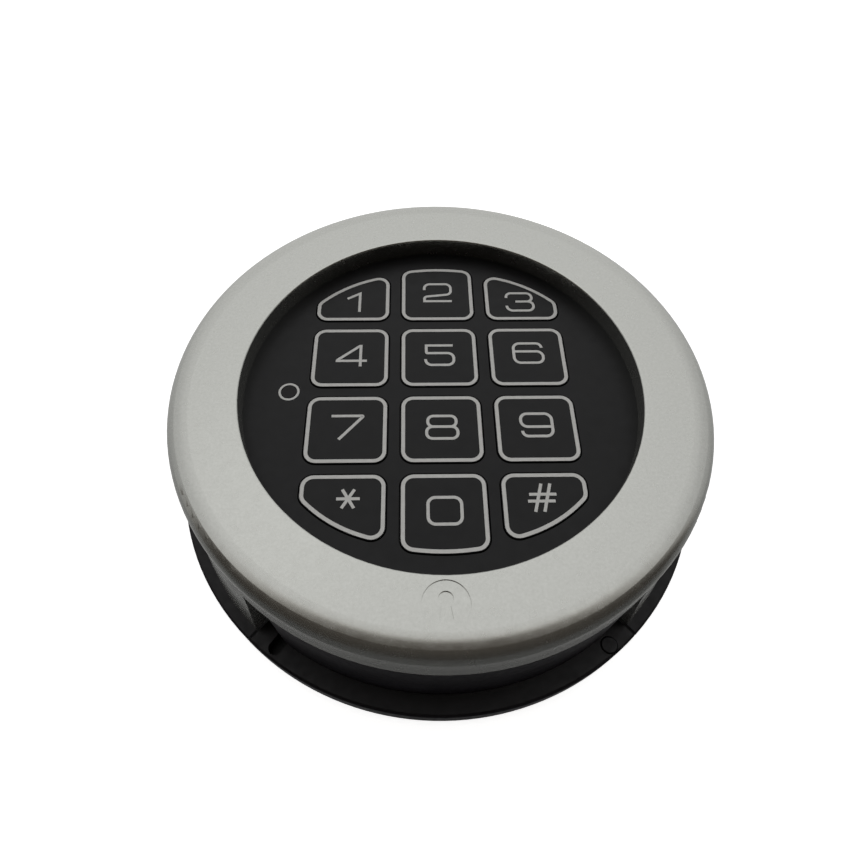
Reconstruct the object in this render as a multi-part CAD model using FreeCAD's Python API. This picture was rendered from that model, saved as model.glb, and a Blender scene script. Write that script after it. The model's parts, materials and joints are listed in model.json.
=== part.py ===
import FreeCAD, Part
import math
import os

# Rotating keypad entry unit for a safe lock.
# Frame: origin at the centre of the rear face, +Z out of the door towards the user,
# +Y towards the top of the keypad, -Y towards the battery drawer. Millimetres.

# ---- driving dimensions -------------------------------------------------------------
HOUSING_R = 50.0          # outer radius of the silver housing
HOUSING_FOOT_R = 51.6     # outer radius at the foot of its flared skirt
SKIRT_Z = 20.0            # height where the straight side bends into the skirt
SKIRT_BEND_R = 60.0       # rounding of that bend
TOTAL_H = 30.0            # rear face to the flat top of the housing
LIP_R = 37.0              # radius of the keypad recess
RECESS_DEPTH = 4.0        # housing top to face plate
HOUSING_WALL = 2.2        # wall of the housing casting above the skirt
CROWN_R = 47.0            # where the flat top turns into a slight outer slope
CROWN_DROP = 0.975        # fall of that slope up to the outer radius
CROWN_EDGE_R = 8.0        # rounding between flat top and slope
HOUSING_EDGE_R = 2.5      # rounding between slope and side
LIP_EDGE_R = 0.35         # rounding of the recess edge
FLANGE_R = 53.8           # outer radius of the rear flange
FLANGE_IN_R = 46.5        # inner radius of the rear flange
FLANGE_Z0 = 0.5           # flange stands this far off the door
FLANGE_Z1 = 4.5           # top of the flange, seat of the housing
FRONT = -90.0             # direction of the drawer, degrees from +X
CUTOUT_HALF = 41.8        # half angle of the housing's front cut-out
CUTOUT_TOP_Z = 21.2       # upper edge of the cut-out
NOTCH_HALF = 42.0         # half angle of the gap in the chassis flange

KEY_PITCH_X = 17.35       # column pitch
KEY_W = 14.0              # outline width, on the printed line's centre
KEY_ROW_Y = (1.6, 14.95, 18.1)   # lower and upper line of row two, lower line of row one
KEY_ARC_R = 37.4          # arc that closes the middle key of the first and last rows
KEY_ARC_Y = -5.5          # centre of that arc
SIDE_ARC_R = 25.0         # arc that closes the corner keys
SIDE_ARC_X = 6.0          # centre of that arc, outwards from the middle column
SIDE_ARC_Y = 5.25
KEY_CORNER_R = 1.9        # corner rounding of the printed outline
KEY_MARGIN = 0.5          # cap edge outside the printed line's centre
KEY_GAP = 0.2             # gap between a cap and its opening
KEY_PROUD = 0.2           # cap top above the face plate
KEY_TRAVEL = 0.4          # stroke of a key

LED_POS = (-28.6, 0.2)    # status light
LENS_R = 1.45
BADGE_X = -0.4            # centre of the round sunk badge on the housing
BADGE_Y = -41.6
BADGE_R = 3.8
BADGE_DEPTH = 0.25
KEYHOLE_DEPTH = 0.3       # keyhole sunk further into the badge

BASE_R = 46.0             # fixed mounting base
BASE_T = 1.8
BOLT_SPACING = 41.3       # two mounting screws, 1 5/8 in apart
BOLT_HOLE_R = 2.15        # M4 clearance
HUB_OUT_R = 9.5           # hub of the base that the dial turns on
HUB_TOP_Z = 7.0
BUSH_OUT_R = 7.2
BUSH_Z0 = 0.3
WASHER_R = 11.9           # friction washer under the retaining ring
WASHER_Z = (3.95, 4.85)
CLIP_R = 12.0             # retaining ring
CLIP_Z = (5.0, 5.9)
CLIP_DEPTH = 0.6          # depth of its groove in the hub
SHANK_R = 6.0             # shank of the drive hub
SHANK_Z0 = 0.8
RUNNING_FIT = 0.05        # radial clearance of a turning fit
SPINDLE_SQUARE = 7.0      # square socket for the lock's spindle
STOP_R = 34.0             # radius of the stop slot
STOP_PIN_R = 1.5
STOP_PIN_Z = (0.3, 6.0)
TURN_DEG = 90.0           # turn of the dial

FLOOR_Z0 = 2.2            # chassis floor
FLOOR_Z1 = 3.7
BAY_HALF = 26.6           # half width between the bay walls
BAY_WALL = 2.6
BAY_TOP_Z = 20.5
BAY_REAR_Y = 16.0
BAY_FRONT_Y = -33.0
BAY_END_Y = -12.4         # face of the wall behind the battery, towards the hub
END_WALL_HALF = 24.4
FLOOR_FRONT_R = 43.5      # floor's edge where the drawer closes the front
CHASSIS_BOSS_R = 4.0
DRIVER_HOLE_R = 4.0       # openings over the two mounting screws

BATTERY = (45.5, 26.5, 17.5)     # case of a 9 V battery, without its terminals
BATTERY_X0 = -24.9
BATTERY_Y0 = -40.8
BATTERY_Z0 = 3.4
TERMINAL_H = 3.0
TERMINAL_SPACING = 12.7
STUD_R = 2.9
CUP_R = 4.0

TRAY_HALF = 26.2          # half width of the drawer's tray
TRAY_WALL = 1.2
TRAY_Z0 = 2.4
TRAY_REAR_Y = -14.0
RUNNER_REAR_Y = 12.0      # rear end of the drawer's two runners
RUNNER_Z0 = 4.1
RUNNER_Z1 = 7.0
RAIL_Z0 = 4.8
RAIL_Z1 = 5.8
RAIL_DEPTH = 1.0
WALL_HALF = 35.0          # half angle of the drawer's front wall
LIP_HALF = 41.4           # half angle of the drawer's lip
POCKET_R = 45.6           # depth of the finger pockets beside the front wall
PIN_POS = (51.9, 36.0)    # round pin in the right pocket: radius, degrees from the front
PIN_R = 1.5
SLOT_ANGLE = -36.3        # open slot in the left pocket, degrees from the front
SLOT_HALF = 1.3           # half width of that slot
SLOT_REACH = (48.6, 51.7) # centres of its round ends, as radii
LIP_HOLE_Z0 = 1.5         # floor of the slot and of the pin's hole

PLATE_T = 1.6             # face plate
PLATE_R = 40.0
EAR_R = 41.6              # radius of the face plate's four screw ears
BOARD_R = 36.0
BOARD_Z0 = 21.2
BOARD_Z1 = 22.4
POST_POS = (32.0, 9.0)    # face plate posts that carry the board
BOSS_R = 44.3             # radius of the housing's four chassis bosses
BOSS_ANGLES = (-36.0, 50.0, 130.0, 216.0)
BOSS_SEAT_Z = 8.0         # where housing and chassis bosses meet
EAR_ANGLES = (0.0, 90.0, 180.0, 270.0)
HUB_PLATE_R = 11.4        # flange of the drive hub and its three ears
HUB_PLATE_Z = (7.4, 9.4)
HUB_EAR_R = 15.5
HUB_EAR_HALF = 3.2
HUB_EAR_ANGLES = (30.0, 90.0, 150.0)

# screws: shank radius, head radius, head height, shank length, half width of the cross
BOARD_SCREW = (0.95, 1.8, 1.2, 3.8, 1.1)
FACE_SCREW = (1.1, 2.2, 1.5, 4.2, 1.3)
HOUSING_SCREW = (1.5, 2.7, 2.0, 12.0, 1.6)
HUB_SCREW = (1.25, 2.3, 1.6, 5.0, 1.4)
HOUSING_SCREW_SEAT = 4.6

# electronics under the keypad
CHIP_POS = (-12.0, 24.0)
CHIP_W = 8.0
CHIP_H = 1.5
CAP_POS = ((-2.0, 31.0), (4.5, 31.0), (-22.0, 19.0))
CAP_R = 2.5
CAP_H = 6.0
BUZZER_POS = (17.0, 24.0)
BUZZER_R = 5.0
BUZZER_H = 4.5
SOCKET_POS = (0.0, 13.0)
SOCKET_HALF = (6.5, 3.9)  # outer half width and half depth of the cable socket
SOCKET_WALL = 1.2
SOCKET_H = 7.0
PIN_PITCH = 2.54
DOME_R = 3.6              # snap dome under each key
DOME_T = 0.1

# ---- derived levels -----------------------------------------------------------------
FACE_Z = TOTAL_H - RECESS_DEPTH
PLATE_Z0 = FACE_Z - PLATE_T
HOUSING_IN_R = HOUSING_R - HOUSING_WALL
CEILING_Z = TOTAL_H - HOUSING_WALL
KEY_TOP_Z = FACE_Z + KEY_PROUD
CAP_FLANGE_Z1 = PLATE_Z0 - 0.1
CAP_FLANGE_Z0 = CAP_FLANGE_Z1 - 0.6
PLUNGER_Z0 = CAP_FLANGE_Z0 - 0.3
DOME_H = PLUNGER_Z0 - KEY_TRAVEL - 0.08 - BOARD_Z1
BATTERY_YC = BATTERY_Y0 + BATTERY[1] / 2
BATTERY_ZC = BATTERY_Z0 + BATTERY[2] / 2

Z = FreeCAD.Vector(0, 0, 1)


# ---- small shape helpers ------------------------------------------------------------
def vec(x, y, z):
    return FreeCAD.Vector(x, y, z)


def disc(r, z0, z1, x=0.0, y=0.0):
    return Part.makeCylinder(r, z1 - z0, vec(x, y, z0), Z)


def ring(r_out, r_in, z0, z1, x=0.0, y=0.0):
    return disc(r_out, z0, z1, x, y).cut(disc(r_in, z0 - 1, z1 + 1, x, y))


def block(x0, x1, y0, y1, z0, z1):
    return Part.makeBox(x1 - x0, y1 - y0, z1 - z0, vec(x0, y0, z0))


def sector(r_out, r_in, z0, z1, half):
    """Part of a ring within half degrees either side of the front."""
    solid = Part.makeCylinder(r_out, z1 - z0, vec(0, 0, z0), Z, 2 * half)
    solid.rotate(vec(0, 0, 0), Z, FRONT - half)
    return solid.cut(disc(r_in, z0 - 1, z1 + 1))


def polar(r, angle):
    a = math.radians(angle)
    return r * math.cos(a), r * math.sin(a)


def join(shapes):
    return shapes[0].fuse(list(shapes[1:])).removeSplitter()


def corner(before, point, after, r):
    """Line end, arc and line start that round a corner of an outline."""
    p = vec(*point)
    a = vec(*before) - p
    b = vec(*after) - p
    a.normalize()
    b.normalize()
    half = a.getAngle(b) / 2
    reach = r / math.tan(half)
    towards = a + b
    towards.normalize()
    middle = p + towards * (r / math.sin(half) - r)
    start = p + a * reach
    end = p + b * reach
    arc = Part.Arc(start, middle, end)
    if r > point[0]:
        arc = arc.toBSpline()  # a bend this shallow turns into a plain surface of revolution
    return start, arc.toShape(), end


def revolve(points, rounds):
    """Turned solid from an (r, z) outline; rounds gives the radius of some corners."""
    n = len(points)
    xyz = [(r, 0.0, z) for r, z in points]
    edges = []
    last = None
    first = None
    for i in range(n):
        if i in rounds:
            start, arc, end = corner(xyz[i - 1], xyz[i], xyz[(i + 1) % n], rounds[i])
        else:
            start, arc, end = vec(*xyz[i]), None, vec(*xyz[i])
        if last is None:
            first = start
        else:
            edges.append(Part.LineSegment(last, start).toShape())
        if arc is not None:
            edges.append(arc)
        last = end
    edges.append(Part.LineSegment(last, first).toShape())
    face = Part.Face(Part.Wire(edges))
    return face.revolve(vec(0, 0, 0), Z, 360)


def upright_edges(solid, z0, z1):
    """Straight edges that run the whole way from z0 to z1."""
    found = []
    for edge in solid.Edges:
        a = edge.Vertexes[0].Point
        b = edge.Vertexes[-1].Point
        spans = abs(min(a.z, b.z) - z0) < 1e-6 and abs(max(a.z, b.z) - z1) < 1e-6
        if spans and abs(a.x - b.x) < 1e-6 and abs(a.y - b.y) < 1e-6:
            found.append(edge)
    return found


def edges_at(solid, z):
    """Edges that lie in the level z."""
    return [e for e in solid.Edges if abs(e.BoundBox.ZMin - z) < 1e-6 and abs(e.BoundBox.ZMax - z) < 1e-6]


def screw(size):
    """Pan screw on the Z axis: seat at z = 0, shank upwards, head below."""
    shank_r, head_r, head_h, length, drive_r = size
    head = Part.makeCylinder(head_r, head_h, vec(0, 0, -head_h), Z)
    head = head.makeFillet(head_h * 0.35, edges_at(head, -head_h))
    shank = disc(shank_r, 0, length)
    cross_half = drive_r * 0.22
    cross_top = -head_h * 0.45
    bar = block(-drive_r, drive_r, -cross_half, cross_half, -head_h - 0.1, cross_top)
    cross = bar.copy()
    cross.rotate(vec(0, 0, 0), Z, 90)
    return join([head, shank]).cut(bar).cut(cross)


def save(name, shape):
    shape.exportStep("parts/" + name + ".step")


def save_group(name, solids):
    save(name, Part.makeCompound(solids))


# ---- keypad outline -----------------------------------------------------------------
def key_cell(col, row, grow, z0, z1):
    """Rounded outline of the key in column -1..1 and row 1..4, grown by a margin."""
    x0 = col * KEY_PITCH_X - KEY_W / 2 - grow
    x1 = x0 + KEY_W + 2 * grow
    low, high, outer = KEY_ROW_Y
    if row in (2, 3):
        y0, y1 = low - grow, high + grow
    else:
        y0, y1 = outer - grow, KEY_ARC_R
    cell = block(x0, x1, y0, y1, z0, z1)
    if row in (1, 4) and col == 0:
        cell = cell.common(disc(KEY_ARC_R + grow, z0, z1, 0, KEY_ARC_Y))
    elif row in (1, 4):
        cell = cell.common(disc(SIDE_ARC_R + grow, z0, z1, col * SIDE_ARC_X, SIDE_ARC_Y))
    cell = cell.makeFillet(KEY_CORNER_R + grow, upright_edges(cell, z0, z1))
    if row > 2:
        cell = cell.mirror(vec(0, 0, 0), vec(0, 1, 0))
    return cell


def key_names():
    labels = ("1", "2", "3", "4", "5", "6", "7", "8", "9", "star", "0", "hash")
    for i, label in enumerate(labels):
        yield "key_" + label, i % 3 - 1, i // 3 + 1


def key_centre(col, row):
    box = key_cell(col, row, 0.0, 0.0, 1.0).BoundBox
    return box.Center.x, box.Center.y


def key_cap(col, row):
    """Shallow cap, open below, with a rim that holds it in the plate and a centre plunger."""
    edge_r, rim, wall, plunger_r = 0.12, 0.7, 1.0, 2.0
    ceiling_z = PLATE_Z0 + 0.2
    body = key_cell(col, row, KEY_MARGIN, CAP_FLANGE_Z0, KEY_TOP_Z)
    body = body.makeFillet(edge_r, edges_at(body, KEY_TOP_Z))
    flange = key_cell(col, row, KEY_MARGIN + rim, CAP_FLANGE_Z0, CAP_FLANGE_Z1)
    hollow = key_cell(col, row, KEY_MARGIN - wall, CAP_FLANGE_Z0 - 1, ceiling_z)
    plunger = disc(plunger_r, PLUNGER_Z0, ceiling_z + 0.4, *key_centre(col, row))
    return join([join([body, flange]).cut(hollow), plunger])


# ---- fixed base ---------------------------------------------------------------------
def stop_slot():
    """Curved slot that the dial's stop pin runs in, from +X to +Y."""
    half = STOP_PIN_R + 0.3
    slot = Part.makeCylinder(STOP_R + half, BASE_T + 2, vec(0, 0, -1), Z, TURN_DEG)
    slot = slot.cut(disc(STOP_R - half, -2, BASE_T + 2))
    ends = [disc(half, -1, BASE_T + 1, *polar(STOP_R, a)) for a in (0.0, TURN_DEG)]
    return join([slot] + ends)


def mounting_base():
    edge, countersink = 0.4, 1.1
    plate = disc(BASE_R, 0, BASE_T)
    plate = plate.makeChamfer(edge, edges_at(plate, BASE_T))
    hub = disc(HUB_OUT_R, BASE_T - 0.5, HUB_TOP_Z)
    hub = hub.makeChamfer(edge, edges_at(hub, HUB_TOP_Z))
    body = join([plate, hub]).cut(disc(BUSH_OUT_R, -1, HUB_TOP_Z + 1))
    z0, z1 = CLIP_Z
    groove = ring(HUB_OUT_R + 1, HUB_OUT_R - CLIP_DEPTH, z0 - 0.05, z1 + 0.1)
    body = body.cut(groove).cut(stop_slot())
    for side in (-1, 1):
        x = side * BOLT_SPACING / 2
        sink = Part.makeCone(BOLT_HOLE_R, BOLT_HOLE_R + countersink, countersink,
                             vec(x, 0, BASE_T - countersink), Z)
        body = body.cut(disc(BOLT_HOLE_R, -1, BASE_T + 1, x)).cut(sink)
    return body


def hub_bush():
    return ring(BUSH_OUT_R, SHANK_R + RUNNING_FIT, BUSH_Z0, HUB_TOP_Z)


def friction_washer():
    return ring(WASHER_R, HUB_OUT_R + 0.1, *WASHER_Z)


def retaining_ring():
    """Open spring ring with a plier hole either side of its gap."""
    z0, z1 = CLIP_Z
    gap_half, hole_r, hole_x, hole_y = 3.0, 0.6, 4.2, 9.8
    body = ring(CLIP_R, HUB_OUT_R - CLIP_DEPTH + 0.1, z0, z1)
    body = body.cut(block(-gap_half, gap_half, HUB_OUT_R / 2, CLIP_R + 1, z0 - 1, z1 + 1))
    for side in (-1, 1):
        body = body.cut(disc(hole_r, z0 - 1, z1 + 1, side * hole_x, hole_y))
    return body


# ---- turning dial -------------------------------------------------------------------
def badge_relief():
    """Shallow round badge with a plain keyhole sunk into its floor."""
    z0 = TOTAL_H - BADGE_DEPTH
    z1 = TOTAL_H + 1
    floor = disc(BADGE_R, z0, z1, 0, BADGE_Y)
    bottom = z0 - KEYHOLE_DEPTH
    eye_r, eye_y = 1.2, BADGE_Y + 0.9
    foot_y = BADGE_Y - 2.2
    narrow, wide = 0.55, 1.1
    eye = disc(eye_r, bottom, z1, 0, eye_y)
    foot = Part.makePolygon([
        vec(-narrow, eye_y, bottom),
        vec(narrow, eye_y, bottom),
        vec(wide, foot_y, bottom),
        vec(-wide, foot_y, bottom),
        vec(-narrow, eye_y, bottom),
    ])
    keyhole = join([eye, Part.Face(foot).extrude(vec(0, 0, z1 - bottom))])
    return join([floor, keyhole]).translated(vec(BADGE_X, 0, 0))


def dial_housing():
    """Turned cover: skirt, side, crowned top, keypad recess; four bosses each for chassis and plate."""
    lip_wall, boss_r, ear_boss_r = 1.8, 3.0, 2.6
    outline = [
        (HOUSING_IN_R, FLANGE_Z1),
        (HOUSING_FOOT_R, FLANGE_Z1),
        (HOUSING_R, SKIRT_Z),
        (HOUSING_R, TOTAL_H - CROWN_DROP),
        (CROWN_R, TOTAL_H),
        (LIP_R, TOTAL_H),
        (LIP_R, FACE_Z),
        (LIP_R + lip_wall, FACE_Z),
        (LIP_R + lip_wall, CEILING_Z),
        (HOUSING_IN_R, CEILING_Z),
    ]
    rounds = {2: SKIRT_BEND_R, 3: HOUSING_EDGE_R, 4: CROWN_EDGE_R, 5: LIP_EDGE_R}
    body = revolve(outline, rounds)
    body = body.cut(sector(HOUSING_R + 5, HOUSING_IN_R - 5, 0, CUTOUT_TOP_Z, CUTOUT_HALF))
    top = CEILING_Z + 0.5
    bosses = [disc(boss_r, BOSS_SEAT_Z, top, *polar(BOSS_R, a)) for a in BOSS_ANGLES]
    bosses += [disc(ear_boss_r, FACE_Z, top, *polar(EAR_R, a)) for a in EAR_ANGLES]
    body = join([body] + bosses)
    tapped_r = HOUSING_SCREW[0] + 0.02
    tapped_top = HOUSING_SCREW_SEAT + HOUSING_SCREW[3] + 0.4
    for angle in BOSS_ANGLES:
        body = body.cut(disc(tapped_r, BOSS_SEAT_Z - 1, tapped_top, *polar(BOSS_R, angle)))
    for angle in EAR_ANGLES:
        body = body.cut(disc(FACE_SCREW[0] + 0.02, FACE_Z - 1, TOTAL_H - 1.2, *polar(EAR_R, angle)))
    return body.cut(badge_relief())


def bay_wall(side):
    """Wall beside the battery bay with the groove that guides the drawer's rail."""
    x0 = BAY_HALF
    x1 = BAY_HALF + BAY_WALL
    wall = block(x0, x1, BAY_FRONT_Y, BAY_REAR_Y, FLOOR_Z0, BAY_TOP_Z)
    groove = block(x0 - 1, x0 + RAIL_DEPTH + 0.1, BAY_FRONT_Y - 1, BAY_REAR_Y - 1.2,
                   RAIL_Z0 - 0.3, RAIL_Z1 + 0.3)
    wall = wall.cut(groove)
    if side < 0:
        wall = wall.mirror(vec(0, 0, 0), vec(1, 0, 0))
    return wall


def rear_chassis():
    """Black carrier: flange, floor and rim, battery bay, screw bosses and stop pin boss."""
    rim_gap, rim_wall, edge_r, slip = 0.3, 1.4, 0.5, 0.4
    below, above = -1, 12
    flange = ring(FLANGE_R, FLANGE_IN_R, FLANGE_Z0, FLANGE_Z1)
    outer = [e for e in edges_at(flange, FLANGE_Z1) if e.Curve.Radius > HOUSING_FOOT_R]
    flange = flange.makeFillet(edge_r, outer)
    floor = disc(FLANGE_IN_R + 0.5, FLOOR_Z0, FLOOR_Z1)
    rim_r = HOUSING_IN_R - rim_gap
    rim = ring(rim_r, rim_r - rim_wall, FLOOR_Z0, BOSS_SEAT_Z)
    body = join([flange, floor, rim])
    body = body.cut(sector(FLANGE_R + 2, FLOOR_FRONT_R, below, above, NOTCH_HALF))
    bay_rear = TRAY_REAR_Y + slip
    body = body.cut(block(-BAY_HALF, BAY_HALF, -60, bay_rear, below, above))
    end_wall = block(-END_WALL_HALF, END_WALL_HALF, bay_rear, BAY_END_Y, FLOOR_Z0, BAY_TOP_Z)
    hub_seat = HUB_PLATE_Z[0]
    bosses = [disc(CHASSIS_BOSS_R, FLOOR_Z0, BOSS_SEAT_Z, *polar(BOSS_R - 1.0, a)) for a in BOSS_ANGLES]
    bosses += [disc(HUB_EAR_HALF - 0.1, FLOOR_Z0, hub_seat, *polar(HUB_EAR_R, a)) for a in HUB_EAR_ANGLES]
    bosses.append(disc(STOP_PIN_R + 1.7, FLOOR_Z0, STOP_PIN_Z[1] + 1.0, 0, STOP_R))
    body = join([body, end_wall, bay_wall(1), bay_wall(-1)] + bosses)
    body = body.cut(disc(HUB_OUT_R + 0.3, 0, above))
    for angle in BOSS_ANGLES:
        x, y = polar(BOSS_R, angle)
        head_r = HOUSING_SCREW[1] + 0.2
        body = body.cut(disc(HOUSING_SCREW[0] + 0.2, 0, above, x, y))
        body = body.cut(disc(head_r, 0, HOUSING_SCREW_SEAT, x, y))
    for angle in HUB_EAR_ANGLES:
        body = body.cut(disc(HUB_SCREW[0] + 0.02, FLOOR_Z0 + 0.8, above, *polar(HUB_EAR_R, angle)))
    body = body.cut(disc(STOP_PIN_R, 0, STOP_PIN_Z[1], 0, STOP_R))
    for side in (-1, 1):
        body = body.cut(disc(DRIVER_HOLE_R, 0, above, side * BOLT_SPACING / 2, 0))
    return body


def drive_hub():
    """Three-eared flange with a round shank and a square through socket for the spindle."""
    z0, z1 = HUB_PLATE_Z
    above = z1 + 3
    pieces = [disc(HUB_PLATE_R, z0, z1), disc(SHANK_R, SHANK_Z0, z0 + 0.2)]
    for angle in HUB_EAR_ANGLES:
        arm = block(0, HUB_EAR_R, -HUB_EAR_HALF, HUB_EAR_HALF, z0, z1)
        arm.rotate(vec(0, 0, 0), Z, angle)
        pieces += [arm, disc(HUB_EAR_HALF, z0, z1, *polar(HUB_EAR_R, angle))]
    half = SPINDLE_SQUARE / 2
    body = join(pieces).cut(block(-half, half, -half, half, 0, above))
    for angle in HUB_EAR_ANGLES:
        body = body.cut(disc(HUB_SCREW[0] + 0.15, z0 - 1, above, *polar(HUB_EAR_R, angle)))
    return body


def face_plate():
    """Round plate with twelve key openings, four screw ears and four posts for the board."""
    ear_r, post_r, top = 3.0, 2.2, FACE_Z + 1
    body = disc(PLATE_R, PLATE_Z0, FACE_Z)
    ears = [disc(ear_r, PLATE_Z0, FACE_Z, *polar(EAR_R, a)) for a in EAR_ANGLES]
    body = join([body] + ears)
    for _, col, row in key_names():
        body = body.cut(key_cell(col, row, KEY_MARGIN + KEY_GAP, PLATE_Z0 - 1, top))
    posts = [disc(post_r, BOARD_Z1, PLATE_Z0 + 0.5, x, y) for x, y in post_positions()]
    body = join([body] + posts)
    for x, y in post_positions():
        body = body.cut(disc(BOARD_SCREW[0] + 0.02, BOARD_Z1 - 1, FACE_Z - 0.6, x, y))
    for angle in EAR_ANGLES:
        body = body.cut(disc(FACE_SCREW[0] + 0.3, PLATE_Z0 - 1, top, *polar(EAR_R, angle)))
    return body.cut(disc(LENS_R + 0.05, PLATE_Z0 - 1, top, *LED_POS))


def post_positions():
    px, py = POST_POS
    return [(sx * px, sy * py) for sx in (-1, 1) for sy in (-1, 1)]


def led_lens():
    rim, under = 0.65, PLATE_Z0 - 0.5
    return join([disc(LENS_R, under, FACE_Z, *LED_POS), disc(LENS_R + rim, under, PLATE_Z0, *LED_POS)])


def status_led():
    x, y = LED_POS
    half_x, half_y, base_h, dome_r, dome_h = 1.0, 0.65, 0.4, 0.6, 0.5
    base = block(x - half_x, x + half_x, y - half_y, y + half_y, BOARD_Z1, BOARD_Z1 + base_h)
    return join([base, disc(dome_r, BOARD_Z1 + base_h - 0.1, BOARD_Z1 + base_h + dome_h, x, y)])


def circuit_board():
    body = disc(BOARD_R, BOARD_Z0, BOARD_Z1)
    for x, y in post_positions():
        body = body.cut(disc(BOARD_SCREW[0] + 0.15, BOARD_Z0 - 1, BOARD_Z1 + 1, x, y))
    return body


def snap_dome(x, y):
    """Shallow round steel dome that a key's plunger pushes in."""
    sphere_r = (DOME_R * DOME_R + DOME_H * DOME_H) / (2 * DOME_H)
    centre = vec(x, y, BOARD_Z1 + DOME_H - sphere_r)
    shell = Part.makeSphere(sphere_r, centre).cut(Part.makeSphere(sphere_r - DOME_T, centre))
    return shell.common(disc(DOME_R, BOARD_Z1, BOARD_Z1 + 1, x, y))


def controller_chip():
    """Flat package with a row of feet on each side, hung under the board."""
    cx, cy = CHIP_POS
    half = CHIP_W / 2
    z0 = BOARD_Z0 - CHIP_H
    body = block(cx - half, cx + half, cy - half, cy + half, z0, BOARD_Z0 - 0.2)
    solids = [body.makeChamfer(0.3, edges_at(body, z0))]
    feet, foot_w, foot_out, foot_t = 8, 0.4, 1.0, 0.3
    pitch = (CHIP_W - 2 * 0.65) / (feet - 1)
    for i in range(feet):
        y = cy - half + 0.65 + i * pitch
        for x0, x1 in ((cx + half - 0.2, cx + half + foot_out), (cx - half - foot_out, cx - half + 0.2)):
            solids.append(block(x0, x1, y - foot_w / 2, y + foot_w / 2, BOARD_Z0 - foot_t, BOARD_Z0))
    return join(solids)


def board_capacitors():
    solids = []
    for x, y in CAP_POS:
        can = disc(CAP_R, BOARD_Z0 - CAP_H, BOARD_Z0, x, y)
        solids.append(can.makeFillet(0.4, edges_at(can, BOARD_Z0 - CAP_H)))
    return solids


def board_resistors():
    """Eight chip resistors in two rows."""
    x_first, y_first, pitch_x, pitch_y = -3.5, 22.0, 2.6, 3.0
    length, width, height, per_row = 1.6, 0.8, 0.5, 4
    solids = []
    for i in range(2 * per_row):
        x = x_first + pitch_x * (i % per_row)
        y = y_first + pitch_y * (i // per_row)
        solids.append(block(x, x + length, y, y + width, BOARD_Z0 - height, BOARD_Z0))
    return solids


def buzzer():
    x, y = BUZZER_POS
    z0 = BOARD_Z0 - BUZZER_H
    body = disc(BUZZER_R, z0, BOARD_Z0, x, y)
    body = body.makeFillet(0.5, edges_at(body, z0))
    return body.cut(disc(0.8, z0 - 1, z0 + 1, x, y))


def cable_socket():
    """Open box that the lock's cable plugs into from the rear."""
    x, y = SOCKET_POS
    hx, hy = SOCKET_HALF
    mx, my = hx - SOCKET_WALL, hy - SOCKET_WALL
    z0 = BOARD_Z0 - SOCKET_H
    body = block(x - hx, x + hx, y - hy, y + hy, z0, BOARD_Z0)
    mouth = block(x - mx, x + mx, y - my, y + my, z0 - 1, BOARD_Z0 - SOCKET_WALL)
    key_slot = block(x - 1.5, x + 1.5, y - hy - 1, y, z0 - 1, BOARD_Z0 - 3.0)
    return body.cut(mouth).cut(key_slot)


def cable_socket_pins():
    """Four contact blades against the front wall of the mouth."""
    half_w, thickness, length = 0.3, 0.3, 4.3
    x, y = SOCKET_POS
    y0 = y - SOCKET_HALF[1] + SOCKET_WALL
    z1 = BOARD_Z0 - SOCKET_WALL
    solids = []
    for i in range(4):
        px = x + PIN_PITCH * (i - 1.5)
        solids.append(block(px - half_w, px + half_w, y0, y0 + thickness, z1 - length, z1))
    return solids


def battery_contacts():
    """Two stamped strips: each hangs beside a terminal and folds over the bay wall."""
    x0, t, half, foot_w = 23.95, 0.4, 2.0, 0.9
    blade_z0 = 8.2
    z0, z1 = BAY_TOP_Z + 0.1, BAY_TOP_Z + 0.45
    foot_y0, foot_y1 = BATTERY_YC + 8.6, BATTERY_YC + 10.0
    solids = []
    for side, x1 in ((-1, 28.6), (1, 27.3)):
        y = BATTERY_YC + side * TERMINAL_SPACING / 2
        blade = block(x0, x0 + t, y - half, y + half, blade_z0, z1)
        bend = block(x0, x1, y - half, y + half, z0, z1)
        run = block(x1 - foot_w, x1, y - half, foot_y1, z0, z1)
        pad = block(x1 - foot_w, x1, foot_y0, foot_y1, z1 - 0.05, BOARD_Z0)
        solids.append(join([blade, bend, run, pad]))
    return solids


def stop_pin():
    z0, z1 = STOP_PIN_Z
    pin = disc(STOP_PIN_R, z0, z1, 0, STOP_R)
    return pin.makeChamfer(0.3, edges_at(pin, z0))


def placed_screws(positions, shape, seat_z):
    solids = []
    for x, y in positions:
        copy = shape.copy()
        copy.translate(vec(x, y, seat_z))
        solids.append(copy)
    return solids


def flipped(shape):
    """The same screw with its head upwards."""
    copy = shape.copy()
    copy.rotate(vec(0, 0, 0), vec(1, 0, 0), 180)
    return copy


# ---- battery drawer -----------------------------------------------------------------
def drawer_pocket(side):
    """Back wall and return of the finger pocket at one end of the front wall."""
    wall_t, top, over = 1.2, 19.8, 3
    z0 = FLANGE_Z0 + 2
    opening = sector(HOUSING_R + 1, POCKET_R - over, 0, top + 1, WALL_HALF - 1.5)
    back = sector(POCKET_R, POCKET_R - wall_t, z0, top, LIP_HALF)
    end = sector(HOUSING_R, POCKET_R - wall_t, z0, top, WALL_HALF)
    both = join([back.cut(opening), end.cut(opening)])
    half_space = block(0, 60, -60, 0, 0, top + 1)
    if side < 0:
        half_space = block(-60, 0, -60, 0, 0, top + 1)
    return both.common(half_space)


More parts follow.
